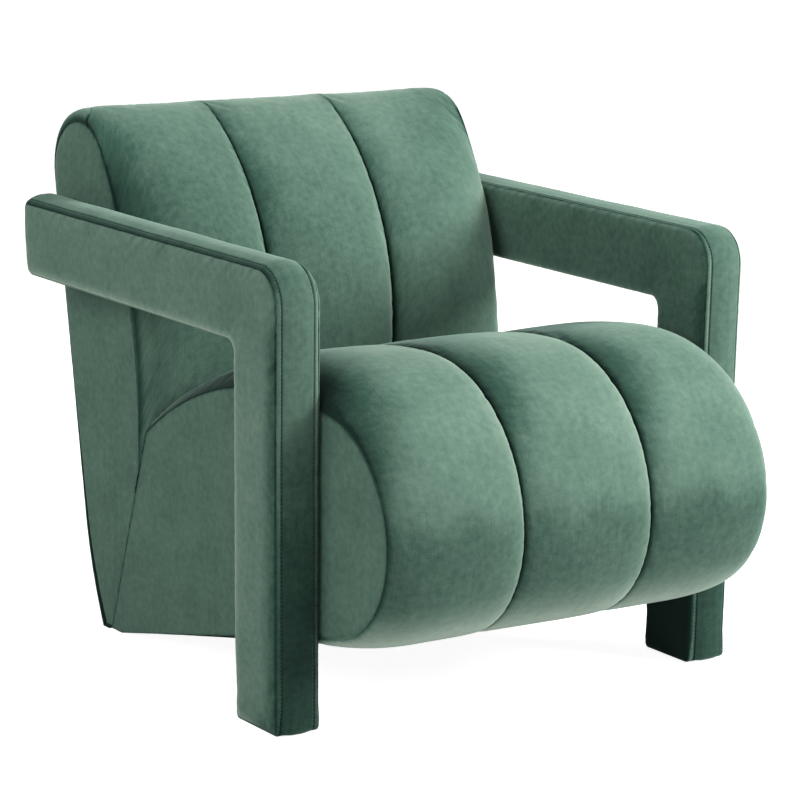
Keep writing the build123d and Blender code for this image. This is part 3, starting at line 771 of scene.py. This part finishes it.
class ArmStrip:
    def __init__(self, side, seed):
        self.side, self.seed = side, seed
        self.outline = armOutline(side)
        self.rows = self.outline.rows(arm["spacing"])
        self.run = [self.outline.along(row) for row in self.rows]
        self.width = armOuter - armInner
        self.across = [(armInner + inset, tuck) for inset, tuck in self.insets(True)]
        self.across += [((armInner + armOuter) / 2, 0.0)]
        self.across += [(armOuter - inset, tuck) for inset, tuck in self.insets(False)[::-1]]

    def insets(self, inner):
        turn, stitch, edge = arm["seamTurn"][inner], arm["stitch"][inner], arm["edge"]
        tucked = [(edge * (1 - cos(turn)) + step, tuck) for step, tuck in ((0.004, 0.009), (0.0015, 0.005))]
        angles = [blendTo(turn, pi / 2, step / 16) for step in range(17)]  # over the rounded edge, from the seam
        found = [edge * (1 - cos(angle)) for angle in angles]
        found += [stitch + step for step in (-0.0007, 0.0, 0.0007)]
        found += [max(edge, stitch) + step for step in (0.0014, 0.0022, 0.0034, 0.005, 0.008, 0.011, 0.015)]
        return tucked + [(inset, 0.0) for inset in sorted(found)]

    def surface(self, x, tuck, row, along):
        spot, outward = self.outline.at(row)
        inset = min(x - armInner, armOuter - x)
        edge = edgeRadius(spot.y)
        inner = x < (armInner + armOuter) / 2
        stitch = arm["stitch"][inner]
        seamInset = arm["edge"] * (1 - cos(arm["seamTurn"][inner]))
        scaled = inset if inset > arm["edge"] else inset * edge / arm["edge"]
        shift = (scaled - inset) * (1 if x - armInner < armOuter - x else -1)
        away = max(0.0, inset - seamInset) * arm["overRound"]
        hidden = within(row, *arm["hidden"])  # seams behind the post are rolled under
        lift = -edgeDrop(scaled, edge) - tuck - arm["groove"] * (1 - hidden) * sewing(away, arm["grooveWidth"])
        lift -= arm["groove"] * arm["stitchDepth"] * exp(-((inset - stitch) / arm["stitchWidth"])**2)
        lift -= arm["gather"] * 0.6 * gathers(along, away, self.seed + 2 * inner, 0.012, 0.008)
        lift += arm["soft"] * softness(x, spot.x, spot.y, self.seed, 0.09) * min(1.0, away / 0.012)
        lift += arm["puff"] * min(1.0, max(0.0, inset - stitch) / 0.014)
        lift += arm["crown"][self.side] * within(row, *arm["crowned"]) * (1 - (2 * inset / self.width - 1)**2)
        if 9.5 < row < 11.5:  # flat where it meets the floor, and let in round the glide
            wide, deep = arm["glide"]
            glide = abs(x + armShift(0.0) - glideSpot.x) < wide and abs(spot.x - glideSpot.y) < deep
            lift = -edgeDrop(scaled, edge) - tuck - (glideTop + 0.0003 - arm["floor"] if glide else 0.0)
        spot = spot + outward * lift + armGive(spot)
        spot = Vector((self.side * (x + shift + armShift(spot.y)), postFront + spot.x, spot.y))
        return spot, away, inset - stitch, hidden

    def place(self, column, row):
        x, tuck = self.across[column]
        spot, away, beyond, hidden = self.surface(x, tuck, self.rows[row], self.run[row])
        # painted shade along the seam and the stitch line, less where the seam is rolled under
        near = max(sewing(away, 0.0012), exp(-(beyond / arm["stitchWidth"])**2)) * (1 - arm["plainRim"] * hidden)
        nap = blendTo(*arm["frontShading"], easeIn(spot.z, *arm["frontTop"]))  # painted shade: the posts are darker near the floor
        level = within(self.rows[row], *arm["level"])
        nap = blendTo(nap, arm["napTop"], level)
        # painted light and shade on the welt between seam and stitching: lighter on the posts, darker along the top
        nap += blendTo(*arm["weltShading"], level) * (1 - easeIn(beyond, *arm["welt"]))
        # painted sheen along the rolled-under seams behind the post
        nap += arm["rimSheen"] * hidden * exp(-away / arm["rimWidth"])
        return spot, (x, self.run[row]), near, nap, 0.0

    def cover(self):
        return laySheet(len(self.across), len(self.rows), self.place, weld=True)

    # Stitches: thread that swells out of the groove and dives back into it, once a stitch
    def stitches(self, inner):
        thread = arm["thread"]
        x = armInner + arm["stitch"][True] if inner else armOuter - arm["stitch"][False]
        total = self.outline.along(9.0)
        count = int(total / thread["pitch"])
        rings, around = thread["rings"], thread["sides"]
        line = []
        for step in range(count * rings + 1):
            along = total * step / (count * rings)
            number = bisect.bisect_right(self.run, along) - 1
            share = (along - self.run[number]) / (self.run[number + 1] - self.run[number])
            row = blendTo(self.rows[number], self.rows[number + 1], share)
            line.append((self.surface(x, 0.0, row, along)[0], Vector((0, *self.outline.at(row)[1]))))

        def place(column, step):
            spot, outward = line[step]
            phase = (step % rings) / rings
            way = (line[min(step + 1, len(line) - 1)][0] - line[max(step - 1, 0)][0]).normalized()
            across = way.cross(outward).normalized()
            thick = thread["thick"] / 2 * blendTo(thread["thin"], 1.0, sin(pi * phase))
            angle = 2 * pi * column / around
            spot = spot + outward * thread["rise"] * (sin(pi * phase) - thread["sunk"])
            spot = spot + thick * (cos(angle) * across + sin(angle) * outward)
            return spot, (column / around, step / rings), 0.0, 0.5, 0.0

        return laySheet(around + 1, len(line), place, weld=True)


# A panel is an L of rows across the rail and the post. Its edges turn over the rounded edge to the seam.
class ArmPanel:
    def __init__(self, side, inner, seed):
        self.side, self.inner, self.seed = side, inner, seed
        length, top, under, low = arm["length"], arm["height"], arm["height"] - arm["rail"], arm["floor"]
        post, corner, crook = arm["post"][side], arm["corner"], arm["crook"]
        quarter = pi / 2
        self.front, self.rear = Outline(), Outline()  # front and top edge, then inside and underside edge
        self.front.run((0, low), (0, top - corner))
        self.front.arc((corner, top - corner), corner, pi, quarter)
        self.front.run((corner, top), (length, top))
        self.rear.run((post, low), (post, under - crook))
        self.rear.arc((post + crook, under - crook), crook, pi, quarter)
        self.rear.run((post + crook, under), (length, under))
        turn = arm["seamTurn"][inner]
        self.border = [(1 - sin(turn) + 0.30, 0.009), (1 - sin(turn) + 0.10, 0.005)]  # shares of the edge
        self.border += [(1 - sin(turn * (1 - step / 9)), 0.0) for step in range(10)]
        self.beyond = (0.0145, 0.019, 0.025, 0.034)
        insets = range(len(self.border) + len(self.beyond))
        self.rows = [("foot", number) for number in insets]
        for number, piece in enumerate(self.front.pieces):
            count = ceil(max(piece["length"], self.rear.pieces[number]["length"]) / arm["spacing"])
            for step in range(count):
                spot = self.front.at(number + step / count)[0]
                if min(spot.y - low, length - spot.x) > self.beyond[-1] + 0.002:
                    self.rows.append(("row", number + step / count))
        self.rows += [("end", number) for number in insets[::-1]]
        self.columns = [("front", number) for number in insets] + [("middle", 0)]
        self.columns += [("rear", number) for number in insets[::-1]]

    def inset(self, number, edge):
        if number < len(self.border):
            share, tuck = self.border[number]
            return share * edge, tuck
        return self.beyond[number - len(self.border)], 0.0

    def place(self, column, row):
        kind, amount = self.rows[row]
        which, number = self.columns[column]
        endInset, endTuck, radius, endEdge = 1.0, 0.0, 0.0, 1.0
        share = amount
        if kind == "foot":
            endEdge, radius = arm["footEdge"], arm["foot"]
            endInset, endTuck = self.inset(amount, endEdge)
            share = endInset / self.front.pieces[0]["length"]
        elif kind == "end":
            endEdge, radius = arm["edge"], arm["end"]
            endInset, endTuck = self.inset(amount, endEdge)
            share = 3 - endInset / self.front.pieces[2]["length"]
        first, last = self.front.at(share)[0], self.rear.at(share)[0]
        if kind == "foot":
            last = Vector((arm["post"][self.side], first.y))
        elif kind == "end":
            last = Vector((first.x, arm["height"] - arm["rail"]))
        span = (last - first).length
        edge = edgeRadius(min(first.y, last.y))
        way = (last - first) / span
        if which == "middle":
            sideInset, sideTuck = span / 2, 0.0
            spot = (first + last) / 2
        else:
            sideInset, sideTuck = self.inset(number, edge)
            spot = first + way * sideInset if which == "front" else last - way * sideInset
        if sideInset < radius and endInset < radius:  # rings round the corner
            depth = min(sideInset, endInset)
            share = (max(sideInset, endInset) - depth) / (radius - depth)
            angle = pi / 4 * (1 + share) if sideInset < endInset else pi / 4 * (1 - share)
            inward = way if which == "front" else -way
            endWay = Vector((0, 1)) if kind == "foot" else Vector((-1, 0))
            spot = spot + inward * (radius - (radius - depth) * sin(angle) - sideInset)
            spot = spot + endWay * (radius - (radius - depth) * cos(angle) - endInset)
            sideInset = endInset = depth
            tuck = max(sideTuck, endTuck)
        else:
            tuck = sideTuck if sideInset < endInset else endTuck
        seam = 1 - sin(arm["seamTurn"][self.inner])
        away = max(0.0, min(sideInset - edge * seam, endInset - endEdge * seam))
        fall = max(edgeDrop(sideInset, edge), edgeDrop(endInset, endEdge)) + tuck
        hidden = which == "rear" and sideInset < endInset
        fall += arm["groove"] * (not hidden) * sewing(away, arm["grooveWidth"])
        fall += arm["gather"] * gathers(spot.x + spot.y, away, self.seed + 5 * (which == "front"), 0.010, 0.012)
        fall -= arm["soft"] * softness(1.0, spot.x, spot.y, self.seed, 0.08) * min(1.0, away / 0.015)
        swollen = arm["innerPuff"] * easeIn(spot.y, *arm["innerRise"]) if self.inner else arm["panelPuff"]
        fall -= swollen * (1 - exp(-away / arm["panelRoll"]))
        spot = spot + armGive(spot)
        x = armInner + fall if self.inner else armOuter - fall
        # painted shade in small gathers along the front edge
        ruffleShade = arm["ruffleShade"] * gathers(spot.x + spot.y, away, self.seed + 9, 0.013, 0.012) * (which == "front")
        nap = arm["napOuter"] + arm["napPost"] * (1 - easeIn(spot.y, *arm["postTop"]))
        # painted shade: the inner panels darker low down, under the seat
        if self.inner:
            nap = blendTo(*arm["innerShading"], easeIn(spot.y, *arm["innerTop"]))
        if which == "front":  # painted shade where the panel rolls to the front seam low down, and a painted highlight along that seam higher up
            level = easeIn(spot.y, *arm["brimRise"])
            nap -= arm["rollShade"][self.inner] * exp(-(away / arm["rollWidth"])**4) * (1 - level)
            nap += arm["brimHighlight"] * exp(-away / arm["brimWidth"]) * level
        elif which == "rear":
            # painted sheen along the rim of the post's rear edge and the rail's underside
            nap += arm["rimSheen"] * exp(-away / arm["rimWidth"])
        # painted shade along the seams, less where the seam is rolled under
        return ((self.side * (x + armShift(spot.y)), postFront + spot.x, spot.y), (spot.x, spot.y),
                sewing(away, arm["stitchWidth"]) * (1 - arm["plainRim"] * hidden), nap - ruffleShade, 0.0)

    def cover(self):
        return laySheet(len(self.columns), len(self.rows), self.place)


thread = Finish("green thread")
twist = thread.clouds(thread.objectPlace(), 1800.0)
threadLook = thread.shade({"Base Color": thread.between(twist, (0.012, 0.034, 0.027), (0.040, 0.085, 0.068)),
                           "Roughness": 0.6})
for side, word in sides.items():
    strip = ArmStrip(side, 70.0 + side)
    bm = strip.cover()
    turnOut(bm, lambda spot: Vector((0, 0, spot.z > arm["height"] - arm["edge"])))
    keepPiece(bm, "arm_edge_strip_" + word, velvet, ["arm_boxing_" + word])
    for inner, name in ((False, "outer"), (True, "inner")):
        bm = strip.stitches(inner)
        bmesh.ops.recalc_face_normals(bm, faces=bm.faces)
        stitches = keepPiece(bm, "arm_%s_topstitch_%s" % (name, word), threadLook)
        bm = ArmPanel(side, inner, 80.0 + side + 7 * inner).cover()
        turnOut(bm, lambda spot: Vector((-side if inner else side, 0, 0)))
        replaced = ["arm_%s_panel_%s" % (name, word)] + (["arm_foam_" + word] if not inner else [])
        keepPiece(bm, "arm_%s_cover_%s" % (name, word), velvet, replaced)
print("arms covered,", len(stitches.data.polygons), "faces in each line of stitching")

# Dust cloth stapled under the seat, drawn tight from the nose to the heel
dustCloth = {"edge": 0.004, "sag": 0.004, "gather": 0.0006, "lift": 0.0008, "clear": 0.0003, "count": 36}


def dustSheet():
    reach = half - dustCloth["edge"]
    count = dustCloth["count"]
    setbacks = [blendTo(seat["staple"], seat["heelSetback"], row / count) for row in range(count + 1)]
    setbacks += [blendTo(seat["heelSetback"], jointSetback(glideTop) - 0.001, row / 4) for row in range(1, 5)]

    def place(column, row):
        x = -reach + 2 * reach * column / count
        setback = setbacks[row]
        level = undersideHeight(setback, undersideSlope(x, nearSide(x), crownAt(x)))
        sag = dustCloth["sag"] * (1 - (x / reach)**2) * sin(pi * min(1.0, row / count))
        sag -= dustCloth["gather"] * gathers(setback, reach - abs(x), 90.0, 0.02, 0.03)
        height = max(level + dustCloth["lift"] - sag, glideTop + dustCloth["clear"])
        return (x, postFront + setback, height), (x, setback), 0.0, 0.5, 0.0

    return laySheet(count + 1, len(setbacks), place)


# Finishes of what lies inside and underneath
inside = {
    "timber": ((0.42, 0.27, 0.14), (0.62, 0.44, 0.26), (2.0, 40.0, 40.0)),
    "plywood": ((0.50, 0.36, 0.20), (0.70, 0.54, 0.34), (40.0, 3.0, 60.0)),
    "webbing": ((0.02, 0.02, 0.02), (0.08, 0.08, 0.08), (300.0, 300.0, 300.0)),
    "dust_cloth": ((0.012, 0.012, 0.012), (0.03, 0.03, 0.03), (900.0, 900.0, 900.0)),
    "steel": ((0.45, 0.45, 0.46), (0.62, 0.62, 0.63), (120.0, 120.0, 120.0)),
    "glide": ((0.015, 0.015, 0.016), (0.03, 0.03, 0.032), (400.0, 400.0, 400.0)),
}
plain = {}
for slot, (dark, pale, grain) in inside.items():
    finish = Finish(slot)
    grains = finish.clouds(finish.stretched(finish.objectPlace(), grain), 1.0, 3.0)
    normal = finish.node("ShaderNodeBump", {}, {"Strength": 0.2, "Distance": 0.0004, "Height": grains})
    plain[slot] = finish.shade({"Base Color": finish.between(grains, dark, pale), "Normal": normal,
                                "Roughness": 0.3 + 0.3 * grains, "Metallic": 1.0 if slot == "steel" else 0.0})
slotOf = {"bolts": "steel", "nuts": "steel", "inserts": "steel", "glide": "glide", "glides": "glide",
          "webbing": "webbing", "dust": "dust_cloth", "gable": "plywood"}  # the rest is timber
bm = dustSheet()
turnOut(bm, lambda spot: Vector((0, 0, -1)))
dust = keepPiece(bm, "seat_dust_cloth", plain["dust_cloth"], ["seat_dust_cover"])
flatLength = (seat["heelSetback"] - seat["staple"]) / cos(seat["underside"]["seam"])
flatLength += jointSetback(glideTop) - seat["heelSetback"]
for name, node in nodes.items():
    if node.hide_render:
        continue
    words = name.split("_")
    slot = next((slotOf[word] for word in slotOf if word in words), "timber")
    node.data.materials.clear()
    node.data.materials.append(plain[slot])
print("inside finished")

# Stage: pale floor, white surround, soft lamps and the photograph's camera
stage = {
    "floor": (0.62, 0.62, 0.62), "floorGlow": 0.92, "around": 0.14,
    "lamps": {
        "key": {"place": (2.4, -2.2, 1.9), "aim": (0, 0, 0.35), "size": 1.4, "power": 190},
        "side": {"place": (-3.0, -0.2, 2.0), "aim": (0, 0, 0.35), "size": 2.0, "power": 75},
        "top": {"place": (0.5, -0.9, 3.0), "aim": (0, 0, 0.35), "size": 1.8, "power": 55},
    },
}
bm = bmesh.new()
bmesh.ops.create_grid(bm, x_segments=2, y_segments=2, size=12.0)
mesh = bpy.data.meshes.new("floor")
bm.to_mesh(mesh)
bm.free()
floor = linked("floor", mesh)


# How much of a ray comes from the camera, a reflection or through something clear
def directRay(tree):
    path = tree.nodes.new("ShaderNodeLightPath")
    most = path.outputs["Is Camera Ray"]
    for name in ("Is Glossy Ray", "Is Transmission Ray"):
        made = tree.nodes.new("ShaderNodeMath")
        made.operation = "MAXIMUM"
        tree.links.new(most, made.inputs[0])
        tree.links.new(path.outputs[name], made.inputs[1])
        most = made.outputs[0]
    return most


finish = Finish("pale floor")
glow = Wire(finish, directRay(finish.tree)) * stage["floorGlow"]
mesh.materials.append(finish.shade({"Base Color": (*stage["floor"], 1.0), "Roughness": 0.9, "Specular IOR Level": 0.1,
                                    "Emission Color": (1.0, 1.0, 1.0, 1.0), "Emission Strength": glow}))

world = bpy.data.worlds.new("studio")
scene.world = world
world.use_nodes = True
tree = world.node_tree
level = tree.nodes.new("ShaderNodeMapRange")
level.inputs["To Min"].default_value = stage["around"]
level.inputs["To Max"].default_value = 1.0
tree.links.new(directRay(tree), level.inputs["Value"])
tree.links.new(level.outputs[0], tree.nodes["Background"].inputs["Strength"])
tree.nodes["Background"].inputs["Color"].default_value = (1.0, 1.0, 1.0, 1.0)

for name, lamp in stage["lamps"].items():
    data = bpy.data.lights.new(name, "AREA")
    data.size = lamp["size"]
    data.energy = lamp["power"]
    light = linked(name, data)
    light.location = lamp["place"]
    aim = Vector(lamp["aim"]) - Vector(lamp["place"])
    light.rotation_euler = aim.to_track_quat("-Z", "Y").to_euler()

camera = {"place": (-2.3224, postFront - 3.1976, 1.2109), "azimuth": radians(-33.873),
          "elevation": radians(11.896), "roll": radians(1.052), "lens": 147.29}
azimuth, elevation, roll = camera["azimuth"], camera["elevation"], camera["roll"]
backWay = Vector((sin(azimuth) * cos(elevation), -cos(azimuth) * cos(elevation),
                  sin(elevation)))
right = Vector((cos(azimuth), sin(azimuth), 0))
up = backWay.cross(right)
turned = Matrix((cos(roll) * right + sin(roll) * up,
                 cos(roll) * up - sin(roll) * right, backWay)).transposed()
lens = bpy.data.cameras.new("view")
lens.lens = camera["lens"]
lens.sensor_width = 36.0
view = linked("view", lens)
view.matrix_world = Matrix.Translation(camera["place"]) @ turned.to_4x4()
scene.camera = view
scene.view_settings.view_transform = "Standard"
print("stage set")
